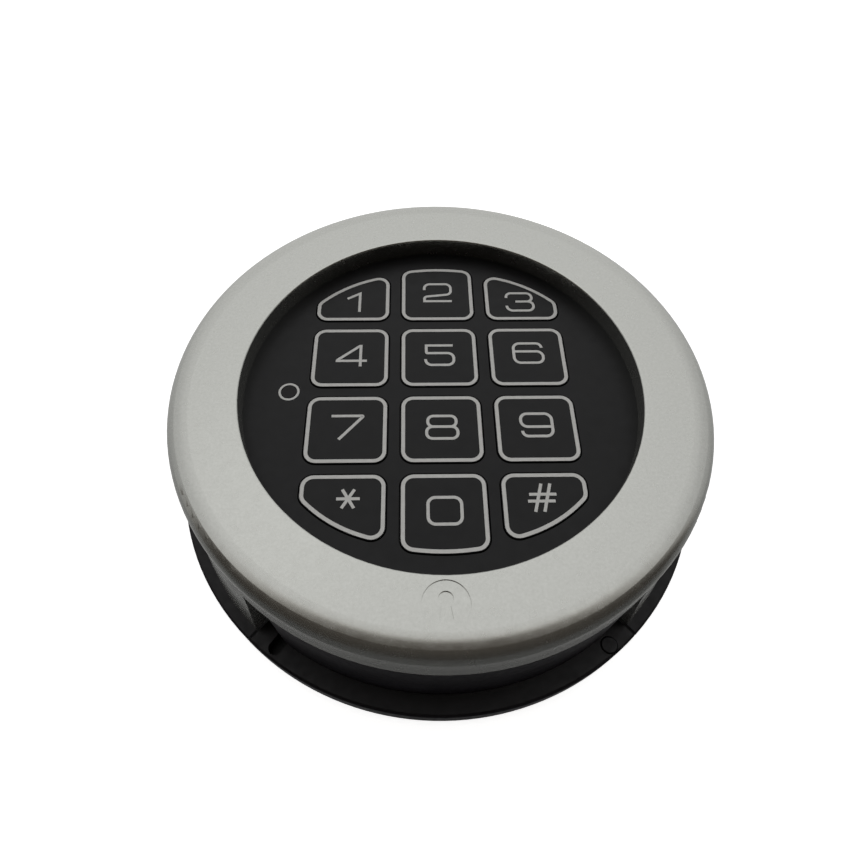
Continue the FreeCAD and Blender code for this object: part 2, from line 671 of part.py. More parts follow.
def drawer_shell():
    """Front wall with its lip and finger pockets."""
    lip = sector(FLANGE_R, FLANGE_IN_R, FLANGE_Z0, FLANGE_Z1, LIP_HALF)
    outer = [e for e in edges_at(lip, FLANGE_Z1) if e.Curve.TypeId.endswith("Circle")
             and e.Curve.Radius > HOUSING_R]
    lip = lip.makeFillet(0.5, outer)
    inner_lip = sector(FLANGE_IN_R + 0.2, POCKET_R - 1.2, TRAY_Z0, FLANGE_Z1, LIP_HALF)
    top = CUTOUT_TOP_Z - 0.3
    front = sector(HOUSING_R, HOUSING_IN_R + 0.3, FLANGE_Z0 + 2, top, WALL_HALF)
    front = front.makeFillet(0.3, edges_at(front, top))
    return [lip, inner_lip, front, drawer_pocket(-1), drawer_pocket(1)]


def drawer_tray():
    """Floor and sides of the tray; the right side is low, clear of the terminals."""
    reach = disc(HOUSING_IN_R + 1.0, TRAY_Z0, 30)
    inner = TRAY_HALF - TRAY_WALL
    left_top = 17.0
    floor = block(-TRAY_HALF, TRAY_HALF, -60, TRAY_REAR_Y, TRAY_Z0, TRAY_Z0 + 0.9)
    left = block(-TRAY_HALF, -inner, -60, TRAY_REAR_Y, TRAY_Z0, left_top)
    left = left.cut(block(-60, 0, TRAY_REAR_Y - 6, 0, RUNNER_Z1, 30))
    right = block(inner, TRAY_HALF, -60, TRAY_REAR_Y, TRAY_Z0, RUNNER_Z1)
    return [piece.common(reach) for piece in (floor, left, right)]


def drawer_runner(side):
    """Long side arm with the rail that runs in the chassis's groove."""
    arm_y, rail_y = -39.0, -32.0
    inner = TRAY_HALF - TRAY_WALL
    arm = block(inner, TRAY_HALF, arm_y, RUNNER_REAR_Y, RUNNER_Z0, RUNNER_Z1)
    rail = block(TRAY_HALF - 0.2, TRAY_HALF + RAIL_DEPTH, rail_y, RUNNER_REAR_Y, RAIL_Z0, RAIL_Z1)
    runner = join([arm, rail])
    if side < 0:
        runner = runner.mirror(vec(0, 0, 0), vec(1, 0, 0))
    return runner


def battery_drawer():
    body = join(drawer_shell() + drawer_tray() + [drawer_runner(1), drawer_runner(-1)])
    fit = 0.1
    x1 = BATTERY_X0 + BATTERY[0]
    y1 = BATTERY_Y0 + BATTERY[1]
    body = body.cut(block(BATTERY_X0 - fit, x1 + fit, BATTERY_Y0 - fit, y1 + fit, BATTERY_Z0, 30))
    pin_hole = disc(PIN_R + 0.12, LIP_HOLE_Z0, FLANGE_Z1 + 1, *pin_centre())
    return body.cut(pin_hole).cut(lip_slot())


def lip_slot():
    """Upright radial slot in the lip, with round ends."""
    near, far = SLOT_REACH
    z0, z1 = LIP_HOLE_Z0, FLANGE_Z1 + 1
    middle = block(near, far, -SLOT_HALF, SLOT_HALF, z0, z1)
    slot = join([middle, disc(SLOT_HALF, z0, z1, near), disc(SLOT_HALF, z0, z1, far)])
    slot.rotate(vec(0, 0, 0), Z, FRONT + SLOT_ANGLE)
    return slot


def pin_centre():
    r, angle = PIN_POS
    return polar(r, FRONT + angle)


def drawer_pin():
    top = FLANGE_Z1 + 0.2
    pin = disc(PIN_R, LIP_HOLE_Z0, top, *pin_centre())
    return pin.makeFillet(0.2, edges_at(pin, top))


def battery():
    x1 = BATTERY_X0 + BATTERY[0]
    y1 = BATTERY_Y0 + BATTERY[1]
    z1 = BATTERY_Z0 + BATTERY[2]
    case = block(BATTERY_X0, x1, BATTERY_Y0, y1, BATTERY_Z0, z1)
    long_edges = [e for e in case.Edges if abs(e.BoundBox.XLength - BATTERY[0]) < 1e-6]
    return case.makeFillet(2.0, long_edges)


def terminal(radius, sides):
    """Snap terminal on the battery's +X end: a round stud or a six-sided cup."""
    foot_rim, floor_t, cup_wall = 0.6, 0.5, 1.1
    x0 = BATTERY_X0 + BATTERY[0]
    sign = 1 if sides else -1
    y = BATTERY_YC + sign * TERMINAL_SPACING / 2
    axis = vec(1, 0, 0)
    place = vec(x0, y, BATTERY_ZC)
    if not sides:
        stud = Part.makeCylinder(radius, TERMINAL_H, place, axis)
        foot = Part.makeCylinder(radius + foot_rim, floor_t, place, axis)
        return join([stud, foot])
    points = []
    for i in range(sides + 1):
        a = 2 * math.pi * i / sides
        points.append(vec(x0, y + radius * math.cos(a), BATTERY_ZC + radius * math.sin(a)))
    cup = Part.Face(Part.makePolygon(points)).extrude(vec(TERMINAL_H, 0, 0))
    return cup.cut(Part.makeCylinder(radius - cup_wall, TERMINAL_H, place + vec(floor_t, 0, 0), axis))


# ---- build every piece --------------------------------------------------------------
def main():
    os.makedirs("parts", exist_ok=True)

    save("mounting_base", mounting_base())
    save("hub_bush", hub_bush())
    save("friction_washer", friction_washer())
    save("retaining_ring", retaining_ring())

    save("dial_housing", dial_housing())
    save("rear_chassis", rear_chassis())
    save("face_plate", face_plate())
    save("circuit_board", circuit_board())
    save("drive_hub", drive_hub())
    save("stop_pin", stop_pin())
    save("led_lens", led_lens())
    save("status_led", status_led())
    save("controller_chip", controller_chip())
    save("buzzer", buzzer())
    save("cable_socket", cable_socket())
    save_group("cable_socket_pins", cable_socket_pins())
    save_group("board_capacitors", board_capacitors())
    save_group("board_resistors", board_resistors())
    save_group("battery_contacts", battery_contacts())

    centres = []
    for name, col, row in key_names():
        save(name, key_cap(col, row))
        centres.append(key_centre(col, row))
    save_group("snap_domes", [snap_dome(x, y) for x, y in centres])

    save_group("board_screws", placed_screws(post_positions(), screw(BOARD_SCREW), BOARD_Z0))
    ears = [polar(EAR_R, a) for a in EAR_ANGLES]
    save_group("face_screws", placed_screws(ears, screw(FACE_SCREW), PLATE_Z0))
    bosses = [polar(BOSS_R, a) for a in BOSS_ANGLES]
    save_group("housing_screws", placed_screws(bosses, screw(HOUSING_SCREW), HOUSING_SCREW_SEAT))
    hub_ears = [polar(HUB_EAR_R, a) for a in HUB_EAR_ANGLES]
    save_group("hub_screws", placed_screws(hub_ears, flipped(screw(HUB_SCREW)), HUB_PLATE_Z[1]))

    save("battery_drawer", battery_drawer())
    save("drawer_pin", drawer_pin())
    save("battery", battery())
    save("battery_stud_terminal", terminal(STUD_R, 0))
    save("battery_cup_terminal", terminal(CUP_R, 6))


main()
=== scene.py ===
import json
import math

import bmesh
import bpy
from mathutils import Matrix, Vector


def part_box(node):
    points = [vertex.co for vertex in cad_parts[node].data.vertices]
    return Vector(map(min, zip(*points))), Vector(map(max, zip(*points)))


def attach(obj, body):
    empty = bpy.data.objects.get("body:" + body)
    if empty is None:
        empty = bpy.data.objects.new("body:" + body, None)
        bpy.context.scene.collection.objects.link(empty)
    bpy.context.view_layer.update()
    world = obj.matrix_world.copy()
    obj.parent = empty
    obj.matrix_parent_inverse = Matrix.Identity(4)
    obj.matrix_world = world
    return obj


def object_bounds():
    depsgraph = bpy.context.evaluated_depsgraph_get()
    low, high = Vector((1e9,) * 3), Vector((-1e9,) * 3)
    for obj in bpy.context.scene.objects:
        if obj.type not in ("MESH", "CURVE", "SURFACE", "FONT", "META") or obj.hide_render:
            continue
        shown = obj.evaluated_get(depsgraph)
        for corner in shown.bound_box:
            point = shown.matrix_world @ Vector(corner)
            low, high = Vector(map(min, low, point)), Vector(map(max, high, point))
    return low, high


# Looks of a round safe-lock keypad: every CAD node keeps its shape and gets a material;
# the printed outlines, digits and the light's ring are added as thin raised ink.

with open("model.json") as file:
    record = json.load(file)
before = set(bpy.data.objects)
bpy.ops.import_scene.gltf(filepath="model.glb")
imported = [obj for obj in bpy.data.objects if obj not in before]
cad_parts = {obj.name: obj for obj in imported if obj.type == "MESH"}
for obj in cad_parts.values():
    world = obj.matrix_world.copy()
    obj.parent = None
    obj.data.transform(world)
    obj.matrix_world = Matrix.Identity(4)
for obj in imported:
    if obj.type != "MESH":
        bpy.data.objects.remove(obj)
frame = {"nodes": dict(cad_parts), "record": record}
NODES = frame["nodes"]
cad_lo, cad_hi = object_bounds()

MM = 0.001

# ---- the keypad's printed lines, in millimetres -------------------------------------
LINE_W = 0.68             # printed key outline
STROKE_W = 0.55           # printed digits
INK_H = 0.02              # height of the ink above the surface
INK_SINK = 0.02           # depth of the ink's underside below the surface
PITCH_X = 17.35           # column pitch of the keys
KEY_W = 14.0
ROW_LOW, ROW_HIGH = 1.6, 14.95    # printed lines of row two; row three mirrors it
ROW_OUTER = 18.1          # inner line of row one; row four mirrors it
CORNER_R = 1.9            # corner rounding of the printed outline
MIDDLE_ARC = ((0.0, -5.5), 37.4)  # centre and radius of the arc over key 2
SIDE_ARC = ((6.0, 5.25), 25.0)    # the same over key 3
LED_RING = (1.55, 1.98)   # inner and outer radius of the ring round the status light
CORNER_STEPS = 8
ARC_STEPS = 16
RING_STEPS = 64
CROSSING_LIFT = 0.002     # each further stroke of a digit lies this much higher
MITRE_LIMIT = 0.35        # smallest cosine for which a corner stays pointed

# ---- room light ---------------------------------------------------------------------
# (share of the way from the near side to the far side, brightness, warmth)
ROOM_STEPS = ((0.0, 0.028, 0.12), (0.14, 0.040, 0.18), (0.30, 0.045, 0.22), (0.42, 0.065, 0.20),
              (0.45, 0.30, 0.10), (0.485, 0.84, 0.03), (0.54, 0.97, 0.0), (0.64, 0.92, 0.0),
              (0.80, 0.86, 0.0), (1.0, 0.82, 0.0))
SIDE_FADE = (0.45, 0.95)  # sideways share of a direction over which the light fades
SIDE_SHARE = 0.52         # brightness left at the sides
HORIZON = (-0.10, 0.02)   # upward share of a direction over which ground turns into room
GROUND_SPAN = (-0.4, 1.0) # from the near side to the far side
GROUND_LIGHT = (0.06, 0.75)       # brightness of the ground at those two ends
# (name, place and size in metres, power in watts, colour)
LAMPS = (
    ("window", (0.0, 0.60, 0.95), 0.9, 0.2, (0.97, 0.99, 1.0)),
    ("fill", (-0.28, 0.36, 0.89), 0.35, 0.03, (1.0, 0.98, 0.97)),
)
FLOOR_HALF = 1.5          # half the floor's side, in metres
FLOOR_GAP = 0.00005       # the floor lies this far under the lock, in metres

# ---- camera, in metres and degrees --------------------------------------------------
CAMERA_POS = (-0.004915, -0.069499, 0.124385)
CAMERA_ELEVATION = 57.746
CAMERA_AZIMUTH = -1.753
CAMERA_ROLL = 1.049
CAMERA_LENS = 26.893      # in millimetres, as the sensor
CAMERA_SENSOR = 36.0
CAMERA_CLIP = (0.005, 10.0)


# =====================================================================================
# materials
# =====================================================================================
class Look:
    """A Principled material with named helpers for its procedural detail."""

    def __init__(self, name, color, roughness, metallic=0.0, **sockets):
        self.mat = bpy.data.materials.new(name)
        self.mat.use_nodes = True
        self.tree = self.mat.node_tree
        self.bsdf = self.tree.nodes["Principled BSDF"]
        self.bsdf.inputs["Base Color"].default_value = (*color, 1.0)
        self.bsdf.inputs["Roughness"].default_value = roughness
        self.bsdf.inputs["Metallic"].default_value = metallic
        for socket, value in sockets.items():
            self.bsdf.inputs[socket.replace("_", " ")].default_value = value
        self.mat.diffuse_color = (*color, 1.0)
        self.coords = self.tree.nodes.new("ShaderNodeTexCoord").outputs["Object"]

    def node(self, kind, **settings):
        made = self.tree.nodes.new(kind)
        for key, value in settings.items():
            setattr(made, key, value)
        return made

    def link(self, source, target):
        self.tree.links.new(source, target)

    def stretched(self, scale):
        """Object coordinates with each axis scaled, for streaks."""
        mapping = self.node("ShaderNodeMapping")
        mapping.inputs["Scale"].default_value = scale
        self.link(self.coords, mapping.inputs["Vector"])
        return mapping.outputs["Vector"]

    def noise(self, size_mm, detail=3.0, coords=None):
        """Soft noise with features of about that size."""
        made = self.node("ShaderNodeTexNoise")
        made.inputs["Scale"].default_value = 1.0 / (size_mm * MM)
        made.inputs["Detail"].default_value = detail
        self.link(coords or self.coords, made.inputs["Vector"])
        return made.outputs["Fac"]

    def remap(self, value, low, high, from_low=0.3, from_high=0.7):
        made = self.node("ShaderNodeMapRange")
        made.inputs["From Min"].default_value = from_low
        made.inputs["From Max"].default_value = from_high
        made.inputs["To Min"].default_value = low
        made.inputs["To Max"].default_value = high
        self.link(value, made.inputs["Value"])
        return made.outputs["Result"]

    def vary_roughness(self, value, low, high):
        self.link(self.remap(value, low, high), self.bsdf.inputs["Roughness"])

    def vary_color(self, value, color_a, color_b):
        mix = self.node("ShaderNodeMix", data_type="RGBA")
        mix.inputs["A"].default_value = (*color_a, 1.0)
        mix.inputs["B"].default_value = (*color_b, 1.0)
        self.link(self.remap(value, 0.0, 1.0), mix.inputs["Factor"])
        self.link(mix.outputs["Result"], self.bsdf.inputs["Base Color"])

    def bump(self, value, depth_mm):
        """Gives the surface relief of that depth."""
        made = self.node("ShaderNodeBump")
        made.inputs["Strength"].default_value = 1.0
        made.inputs["Distance"].default_value = depth_mm * MM
        self.link(value, made.inputs["Height"])
        self.link(made.outputs["Normal"], self.bsdf.inputs["Normal"])


def satin_silver():
    look = Look("satin_silver", (0.525, 0.53, 0.50), 0.25, metallic=0.92)
    look.vary_color(look.noise(0.5, 4.0), (0.505, 0.51, 0.48), (0.545, 0.55, 0.52))
    look.vary_roughness(look.noise(2.0, 5.0), 0.22, 0.28)
    look.bump(look.noise(0.5, 1.0), 0.0015)
    return look.mat


def black_plastic():
    look = Look("black_plastic", (0.0062, 0.0055, 0.0071), 0.42, Specular_IOR_Level=0.28)
    look.vary_color(look.noise(6.0, 4.0), (0.0050, 0.0044, 0.0058), (0.0075, 0.0067, 0.0085))
    look.vary_roughness(look.noise(1.5, 5.0), 0.36, 0.52)
    look.bump(look.noise(0.25, 3.0), 0.012)
    return look.mat


def base_plastic():
    look = Look("base_plastic", (0.022, 0.022, 0.024), 0.55)
    look.vary_color(look.noise(4.0, 6.0), (0.018, 0.018, 0.019), (0.030, 0.030, 0.033))
    look.vary_roughness(look.noise(1.0, 5.0), 0.45, 0.65)
    look.bump(look.noise(0.3, 4.0), 0.02)
    return look.mat


def face_film():
    look = Look("face_black", (0.005, 0.005, 0.0056), 0.40, Specular_IOR_Level=0.24)
    look.vary_color(look.noise(12.0, 3.0), (0.0042, 0.0042, 0.0048), (0.006, 0.006, 0.0066))
    look.vary_roughness(look.noise(2.0, 5.0), 0.36, 0.46)
    look.bump(look.noise(0.18, 2.0), 0.003)
    return look.mat


def ink():
    look = Look("print_ink", (0.66, 0.66, 0.64), 0.5)
    look.vary_color(look.noise(0.8, 3.0), (0.63, 0.63, 0.61), (0.70, 0.70, 0.68))
    look.vary_roughness(look.noise(0.5, 3.0), 0.42, 0.58)
    look.bump(look.noise(0.15, 2.0), 0.003)
    return look.mat


def metal(name, color, low, high, grain_mm=0.4, depth_mm=0.004):
    """Bare or plated metal with fine uneven grain."""
    look = Look(name, color, (low + high) / 2, metallic=1.0)
    darker = tuple(c * 0.86 for c in color)
    look.vary_color(look.noise(2.5, 5.0), darker, color)
    look.vary_roughness(look.noise(grain_mm * 2, 4.0), low, high)
    look.bump(look.noise(grain_mm, 3.0), depth_mm)
    return look.mat


def brushed(name, color, low, high):
    """Stamped or turned steel with streaks along X."""
    look = Look(name, color, (low + high) / 2, metallic=1.0)
    streaks = look.noise(0.25, 4.0, look.stretched((0.06, 1.0, 1.0)))
    look.vary_color(streaks, tuple(c * 0.85 for c in color), color)
    look.vary_roughness(streaks, low, high)
    look.bump(streaks, 0.004)
    return look.mat


def moulded(name, color, low, high, grain_mm=0.3, depth_mm=0.008, shift=0.85):
    """Plain moulded plastic with slight colour and gloss variation."""
    look = Look(name, color, (low + high) / 2)
    look.vary_color(look.noise(3.0, 4.0), tuple(c * shift for c in color), color)
    look.vary_roughness(look.noise(0.8, 4.0), low, high)
    look.bump(look.noise(grain_mm, 3.0), depth_mm)
    return look.mat


def board_mask():
    """Green solder mask with the copper tracks showing through as a lighter weave."""
    look = Look("board_green", (0.01, 0.09, 0.035), 0.35)
    tracks = look.node("ShaderNodeTexBrick")
    tracks.inputs["Scale"].default_value = 120.0
    tracks.inputs["Mortar Size"].default_value = 0.06
    tracks.inputs["Color1"].default_value = (0.0, 0.0, 0.0, 1.0)
    tracks.inputs["Color2"].default_value = (0.1, 0.1, 0.1, 1.0)
    tracks.inputs["Mortar"].default_value = (1.0, 1.0, 1.0, 1.0)
    look.link(look.coords, tracks.inputs["Vector"])
    look.vary_color(tracks.outputs["Fac"], (0.008, 0.075, 0.03), (0.02, 0.16, 0.06))
    look.vary_roughness(look.noise(2.0, 3.0), 0.28, 0.42)
    look.bump(tracks.outputs["Fac"], 0.03)
    return look.mat


def battery_jacket():
    """Printed steel jacket: dark body with a coppery band at the terminal end."""
    look = Look("battery_jacket", (0.03, 0.03, 0.035), 0.3, metallic=0.6)
    split = look.node("ShaderNodeSeparateXYZ")
    look.link(look.coords, split.inputs["Vector"])
    lo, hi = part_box("battery")
    edge = hi[0] - 0.3 * (hi[0] - lo[0])
    band = look.remap(split.outputs["X"], 0.0, 1.0, edge - 0.2 * MM, edge + 0.2 * MM)
    look.vary_color(band, (0.02, 0.02, 0.025), (0.50, 0.26, 0.10))
    look.vary_roughness(look.noise(1.5, 4.0), 0.24, 0.38)
    look.bump(look.noise(5.0, 2.0), 0.03)
    return look.mat


def smoked_lens():
    look = Look("lens", (0.006, 0.005, 0.005), 0.2, Specular_IOR_Level=0.2)
    look.vary_color(look.noise(0.6, 3.0), (0.005, 0.004, 0.004), (0.008, 0.006, 0.006))
    look.vary_roughness(look.noise(0.4, 3.0), 0.14, 0.24)
    look.bump(look.noise(0.5, 2.0), 0.004)
    return look.mat


def pale_floor():
    look = Look("floor", (0.86, 0.86, 0.86), 0.7, Emission_Strength=0.85)
    look.bsdf.inputs["Emission Color"].default_value = (1.0, 1.0, 1.0, 1.0)
    look.vary_color(look.noise(30.0, 3.0), (0.85, 0.85, 0.85), (0.88, 0.88, 0.88))
    look.vary_roughness(look.noise(4.0, 3.0), 0.6, 0.8)
    return look.mat


LOOKS = {
    "satin_silver": satin_silver(),
    "black_plastic": black_plastic(),
    "base_plastic": base_plastic(),
    "face_black": face_film(),
    "brass": metal("brass", (0.72, 0.52, 0.22), 0.22, 0.36),
    "acetal": moulded("acetal", (0.78, 0.76, 0.70), 0.35, 0.5),
    "spring_steel": brushed("spring_steel", (0.62, 0.61, 0.60), 0.22, 0.38),
    "screw_steel": metal("screw_steel", (0.60, 0.61, 0.63), 0.25, 0.40),
    "zinc": metal("zinc", (0.52, 0.53, 0.55), 0.38, 0.55, grain_mm=0.6, depth_mm=0.012),
    "board_green": board_mask(),
    "chip_black": moulded("chip_black", (0.025, 0.025, 0.027), 0.45, 0.6),
    "capacitor_sleeve": moulded("capacitor_sleeve", (0.02, 0.03, 0.14), 0.2, 0.32, 0.8, 0.006),
    "socket_white": moulded("socket_white", (0.74, 0.71, 0.62), 0.4, 0.55),
    "led_white": moulded("led_white", (0.85, 0.80, 0.55), 0.15, 0.3, 0.5, 0.004),
    "lens": smoked_lens(),
    "battery_jacket": battery_jacket(),
    "terminal_metal": metal("terminal_metal", (0.66, 0.64, 0.58), 0.2, 0.34),
}
INK = ink()


def dress_nodes():
    """Every CAD node takes the look of its material slot."""
    for part in frame["record"]["subparts"]:
        node = NODES[part["node"]]
        for held in node.material_slots:
            held.material = LOOKS[part["material_slot"]]


# =====================================================================================
# printed ink: flat raised ribbons
# =====================================================================================
def new_piece(name, bm, material, body):
    """Turns the geometry into a piece that rides on a body."""
    mesh = bpy.data.meshes.new(name)
    bm.to_mesh(mesh)
    bm.free()
    mesh.materials.append(material)
    piece = bpy.data.objects.new(name, mesh)
    bpy.context.scene.collection.objects.link(piece)
    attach(piece, body)


def band(bm, outer, inner, z_low, z_high, closed):
    """Solid flat band between two lines of points, in millimetres."""
    rows = []
    for line, z in ((outer, z_low), (outer, z_high), (inner, z_high), (inner, z_low)):
        rows.append([bm.verts.new((x * MM, y * MM, z * MM)) for x, y in line])
    count = len(outer)
    last = count if closed else count - 1
    for i in range(last):
        j = (i + 1) % count
        for k in range(4):
            a, b = rows[k], rows[(k + 1) % 4]
            bm.faces.new((a[i], a[j], b[j], b[i]))
    if not closed:
        bm.faces.new([row[0] for row in rows])
        bm.faces.new([row[-1] for row in reversed(rows)])


def arc_points(centre, r, a0, a1, steps):
    """Points along an arc, both ends included."""
    cx, cy = centre
    points = []
    for i in range(steps + 1):
        a = a0 + (a1 - a0) * i / steps
        points.append((cx + r * math.cos(a), cy + r * math.sin(a)))
    return points


def key_outline(col, row, offset):
    """Rounded outline of one key, grown by offset from the printed line's centre.

    The corners are arcs about the corners of a smaller shape, so every offset of the
    outline shares them. A large arc closes the keys of rows one and four.
    """
    side = 1 if col >= 0 else -1
    x0 = abs(col) * PITCH_X - KEY_W / 2 + CORNER_R
    x1 = x0 + KEY_W - 2 * CORNER_R
    r = CORNER_R + offset
    right_angle = math.pi / 2
    if row in (2, 3):
        y0, y1 = ROW_LOW + CORNER_R, ROW_HIGH - CORNER_R
        a0 = a1 = right_angle
        top0, top1, arc = (x0, y1), (x1, y1), []
    else:
        y0 = ROW_OUTER + CORNER_R
        (cx, cy), big = MIDDLE_ARC if col == 0 else SIDE_ARC
        big -= CORNER_R
        a0, a1 = math.acos((x0 - cx) / big), math.acos((x1 - cx) / big)
        top0 = (x0, cy + big * math.sin(a0))
        top1 = (x1, cy + big * math.sin(a1))
        arc = arc_points((cx, cy), big + r, a1, a0, ARC_STEPS)[1:-1]
    points = arc_points((x0, y0), r, 2 * right_angle, 3 * right_angle, CORNER_STEPS)
    points += arc_points((x1, y0), r, 3 * right_angle, 4 * right_angle, CORNER_STEPS)
    points += arc_points(top1, r, 0, a1, CORNER_STEPS) + arc
    points += arc_points(top0, r, a0, 2 * right_angle, CORNER_STEPS)
    flip = 1 if row < 3 else -1
    return [(side * x, flip * y) for x, y in points]


def rounded_path(corners, closed):
    """Points along a path whose corners (x, y, radius) are rounded."""
    count = len(corners)
    points = []
    for i, (x, y, radius) in enumerate(corners):
        at_end = not closed and i in (0, count - 1)
        if at_end or radius == 0:
            points.append(Vector((x, y)))
            continue
        here = Vector((x, y))
        before = Vector(corners[i - 1][:2]) - here
        after = Vector(corners[(i + 1) % count][:2]) - here
        half = before.angle(after) / 2
        reach = radius / math.tan(half)
        start = here + before.normalized() * reach
        end = here + after.normalized() * reach
        inwards = (before.normalized() + after.normalized()).normalized()
        centre = here + inwards * radius / math.sin(half)
        a = (start - centre).angle_signed(Vector((1, 0)))
        b = (end - centre).angle_signed(Vector((1, 0)))
        turn = (b - a + math.pi) % (2 * math.pi) - math.pi
        for k in range(CORNER_STEPS + 1):
            t = a + turn * k / CORNER_STEPS
            points.append(centre + radius * Vector((math.cos(t), math.sin(t))))
    return points


def offset_path(points, distance, closed):
    """The path moved sideways, mitred at its corners."""
    count = len(points)
    moved = []
    for i, p in enumerate(points):
        before = points[i - 1] if closed or i else None
        after = points[(i + 1) % count] if closed or i < count - 1 else None
        d0 = (p - before).normalized() if before is not None else None
        d1 = (after - p).normalized() if after is not None else None
        d0 = d1 if d0 is None else d0
        d1 = d0 if d1 is None else d1
        n0 = Vector((-d0.y, d0.x))
        n1 = Vector((-d1.y, d1.x))
        mitre = (n0 + n1).normalized()
        moved.append(p + mitre * distance / max(mitre.dot(n0), MITRE_LIMIT))
    return moved


W, H = 2.76, 2.42         # half width and half height of a digit's stroke line
GLYPHS = {
    "0": [("closed", [(-2.86, -2.46, 1.3), (2.86, -2.46, 1.3), (2.86, 2.46, 1.3), (-2.86, 2.46, 1.3)])],
    "1": [("open", [(-1.5, 0.95, 0), (1.1, H, 0), (1.1, -2.68, 0)])],
    "2": [("open", [(-W, 0.75, 0), (-W, H, 1.15), (W, H, 1.15), (W, -0.5, 1.05), (-W, -1.15, 0.7),
                    (-W, -H, 0), (2.95, -H, 0)])],
    "3": [("open", [(-W, 1.1, 0), (-W, H, 1.05), (2.55, H, 1.15), (2.55, 0.08, 1.05), (-0.9, 0.08, 0)]),
          ("open", [(-0.9, 0.08, 0), (W, 0.08, 1.1), (W, -H, 1.2), (-W, -H, 1.2), (-W, -1.1, 0)])],
    "4": [("open", [(1.85, -2.68, 0), (1.85, H + 0.25, 0)]),
          ("open", [(1.7, H, 0), (-2.68, -1.12, 0)]),
          ("open", [(-2.95, -1.3, 0), (3.1, -1.3, 0)])],
    "5": [("open", [(2.65, H, 0), (-2.6, H, 0), (-2.6, 0.5, 0.25), (W, 0.5, 1.25), (W, -H, 1.25),
                    (-W, -H, 1.25), (-W, -1.0, 0)])],
    "6": [("open", [(2.7, 1.3, 0), (2.7, H, 1.05), (-2.86, H, 1.3), (-2.86, -H, 1.3), (2.86, -H, 1.25),
                    (2.86, 0.4, 1.25), (-2.58, 0.4, 0)])],
    "7": [("open", [(-3.0, H, 0), (2.95, H, 0.15), (-1.45, -2.6, 0)])],
    "8": [("closed", [(-2.6, 0.1, 1.05), (2.6, 0.1, 1.05), (2.6, H, 1.05), (-2.6, H, 1.05)]),
          ("closed", [(-2.84, -H, 1.1), (2.84, -H, 1.1), (2.84, 0.1, 1.1), (-2.84, 0.1, 1.1)])],
    "9": [("open", [(-2.7, -1.3, 0), (-2.7, -H, 1.05), (2.86, -H, 1.3), (2.86, H, 1.3), (-2.86, H, 1.25),
                    (-2.86, -0.4, 1.25), (2.58, -0.4, 0)])],
    "star": [("open", [(-2.0, 0, 0), (2.0, 0, 0)]),
             ("open", [(-1.05, -1.75, 0), (1.05, 1.75, 0)]),
             ("open", [(-1.05, 1.75, 0), (1.05, -1.75, 0)])],
    "hash": [("open", [(-2.2, 0.62, 0), (2.5, 0.62, 0)]),
             ("open", [(-2.5, -0.66, 0), (2.2, -0.66, 0)]),
             ("open", [(-1.4, -2.65, 0), (0.05, 2.65, 0)]),
             ("open", [(0.15, -2.65, 0), (1.6, 2.65, 0)])],
}
GLYPH_CENTRES = {
    "1": (-17.2, 22.75), "2": (0.1, 25.35), "3": (17.2, 22.65),
    "4": (-17.25, 8.65), "5": (0.1, 8.65), "6": (17.6, 9.05),
    "7": (-17.2, -7.9), "8": (0.1, -8.05), "9": (17.45, -7.7),
    "star": (-16.35, -22.3), "0": (0.1, -24.65), "hash": (16.8, -22.4),
}


def glyph_strokes(bm, label, z_top):
    """Adds the strokes of one digit or sign."""
    cx, cy = GLYPH_CENTRES[label]
    half = STROKE_W / 2
    for level, (form, corners) in enumerate(GLYPHS[label]):
        closed = form == "closed"
        path = rounded_path(corners, closed)
        left = [(p.x + cx, p.y + cy) for p in offset_path(path, half, closed)]
        right = [(p.x + cx, p.y + cy) for p in offset_path(path, -half, closed)]
        top = z_top + INK_H + CROSSING_LIFT * level
        band(bm, left, right, z_top - INK_SINK, top, closed)


def print_key(label):
    """Outline and digit of one key, printed on its cap."""
    name = "key_" + label
    lo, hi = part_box(name)
    z_top = hi[2] / MM
    index = list(GLYPH_CENTRES).index(label)
    col, row = index % 3 - 1, index // 3 + 1
    bm = bmesh.new()
    outer = key_outline(col, row, LINE_W / 2)
    inner = key_outline(col, row, -LINE_W / 2)
    band(bm, outer, inner, z_top - INK_SINK, z_top + INK_H, True)
    glyph_strokes(bm, label, z_top)
    bmesh.ops.recalc_face_normals(bm, faces=bm.faces)
    new_piece(name + "_print", bm, INK, name)


def print_led_ring():
    """Fine printed ring round the status light's window."""
    lo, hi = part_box("led_lens")
    cx, cy = (lo[0] + hi[0]) / 2 / MM, (lo[1] + hi[1]) / 2 / MM
    z_top = hi[2] / MM
    bm = bmesh.new()
    inner, outer = (arc_points((cx, cy), r, 0, 2 * math.pi, RING_STEPS)[:-1] for r in LED_RING)
    band(bm, outer, inner, z_top - INK_SINK, z_top + INK_H, True)
    bmesh.ops.recalc_face_normals(bm, faces=bm.faces)
    new_piece("status_light_print", bm, INK, "dial")


# =====================================================================================
# stage, light and camera
# =====================================================================================
def make_floor():
    """Plain pale floor, which doesn't show in the lock's reflections."""
    bm = bmesh.new()
    z = cad_lo[2] - FLOOR_GAP
    corners = [(-1, -1), (1, -1), (1, 1), (-1, 1)]
    bm.faces.new([bm.verts.new((x * FLOOR_HALF, y * FLOOR_HALF, z)) for x, y in corners])
    mesh = bpy.data.meshes.new("floor")
    bm.to_mesh(mesh)
    bm.free()
    mesh.materials.append(pale_floor())
    floor = bpy.data.objects.new("floor", mesh)
    bpy.context.scene.collection.objects.link(floor)
    floor.visible_glossy = False


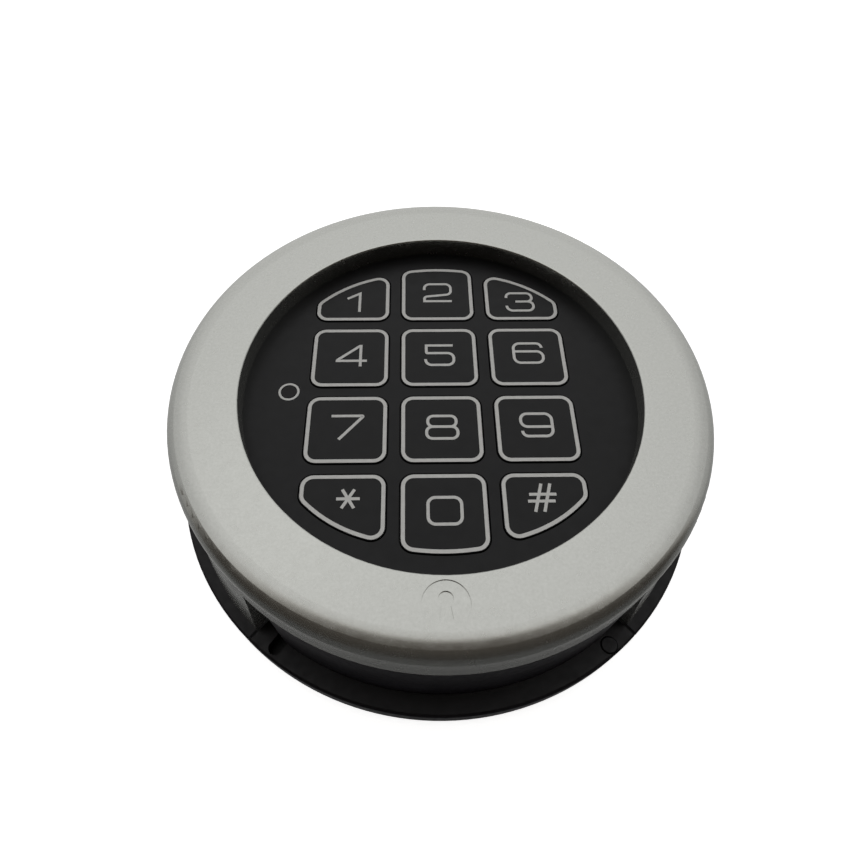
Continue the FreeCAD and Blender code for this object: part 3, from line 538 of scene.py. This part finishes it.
def make_world():
    """Soft room light: bright behind and above the lock, dark on the near side."""
    world = bpy.data.worlds.new("studio")
    bpy.context.scene.world = world
    world.use_nodes = True
    tree = world.node_tree
    background = tree.nodes["Background"]

    def node(kind, **settings):
        made = tree.nodes.new(kind)
        for key, value in settings.items():
            setattr(made, key, value)
        return made

    def span(value, ends, results):
        made = node("ShaderNodeMapRange")
        for socket, number in zip(("From Min", "From Max", "To Min", "To Max"), ends + results):
            made.inputs[socket].default_value = number
        tree.links.new(value, made.inputs["Value"])
        return made.outputs["Result"]

    split = node("ShaderNodeSeparateXYZ")
    tree.links.new(node("ShaderNodeTexCoord").outputs["Generated"], split.inputs["Vector"])
    far, up = split.outputs["Y"], split.outputs["Z"]
    room = node("ShaderNodeValToRGB")
    tree.links.new(span(far, (-1.0, 1.0), (0.0, 1.0)), room.inputs["Fac"])
    while len(room.color_ramp.elements) < len(ROOM_STEPS):
        room.color_ramp.elements.new(0.5)
    for element, (position, level, warmth) in zip(room.color_ramp.elements, ROOM_STEPS):
        element.position = position
        element.color = (level * (1 + warmth), level, level * (1 - warmth), 1.0)
    dimmed = node("ShaderNodeVectorMath", operation="SCALE")
    tree.links.new(room.outputs["Color"], dimmed.inputs["Vector"])
    sideways = node("ShaderNodeMath", operation="ABSOLUTE")
    tree.links.new(split.outputs["X"], sideways.inputs[0])
    tree.links.new(span(sideways.outputs["Value"], SIDE_FADE, (1.0, SIDE_SHARE)), dimmed.inputs["Scale"])
    both = node("ShaderNodeMix", data_type="RGBA")
    tree.links.new(span(up, HORIZON, (0.0, 1.0)), both.inputs["Factor"])
    tree.links.new(span(far, GROUND_SPAN, GROUND_LIGHT), both.inputs["A"])
    tree.links.new(dimmed.outputs["Vector"], both.inputs["B"])
    tree.links.new(both.outputs["Result"], background.inputs["Color"])


def area_light(name, location, size, power, color):
    """Round lamp that faces the lock."""
    data = bpy.data.lights.new(name, "AREA")
    data.shape = "DISK"
    data.size = size
    data.energy = power
    data.color = color
    lamp = bpy.data.objects.new(name, data)
    bpy.context.scene.collection.objects.link(lamp)
    lamp.location = location
    direction = -Vector(location)
    lamp.rotation_euler = direction.to_track_quat("-Z", "Y").to_euler()


def make_camera():
    """Camera placed by its position, elevation, azimuth and roll."""
    data = bpy.data.cameras.new("camera")
    data.lens = CAMERA_LENS
    data.sensor_width = CAMERA_SENSOR
    data.clip_start, data.clip_end = CAMERA_CLIP
    camera = bpy.data.objects.new("camera", data)
    bpy.context.scene.collection.objects.link(camera)
    a, e, r = (math.radians(v) for v in (CAMERA_AZIMUTH, CAMERA_ELEVATION, CAMERA_ROLL))
    back = Vector((math.sin(a) * math.cos(e), -math.cos(a) * math.cos(e), math.sin(e)))
    right = Vector((math.cos(a), math.sin(a), 0.0))
    up = back.cross(right)
    x_axis = math.cos(r) * right + math.sin(r) * up
    y_axis = -math.sin(r) * right + math.cos(r) * up
    turn = Matrix((x_axis, y_axis, back)).transposed()
    camera.matrix_world = Matrix.Translation(CAMERA_POS) @ turn.to_4x4()
    bpy.context.scene.camera = camera


dress_nodes()
for key_label in GLYPH_CENTRES:
    print_key(key_label)
print_led_ring()
make_floor()
make_world()
for lamp_values in LAMPS:
    area_light(*lamp_values)
make_camera()
bpy.context.scene.view_settings.view_transform = "Standard"
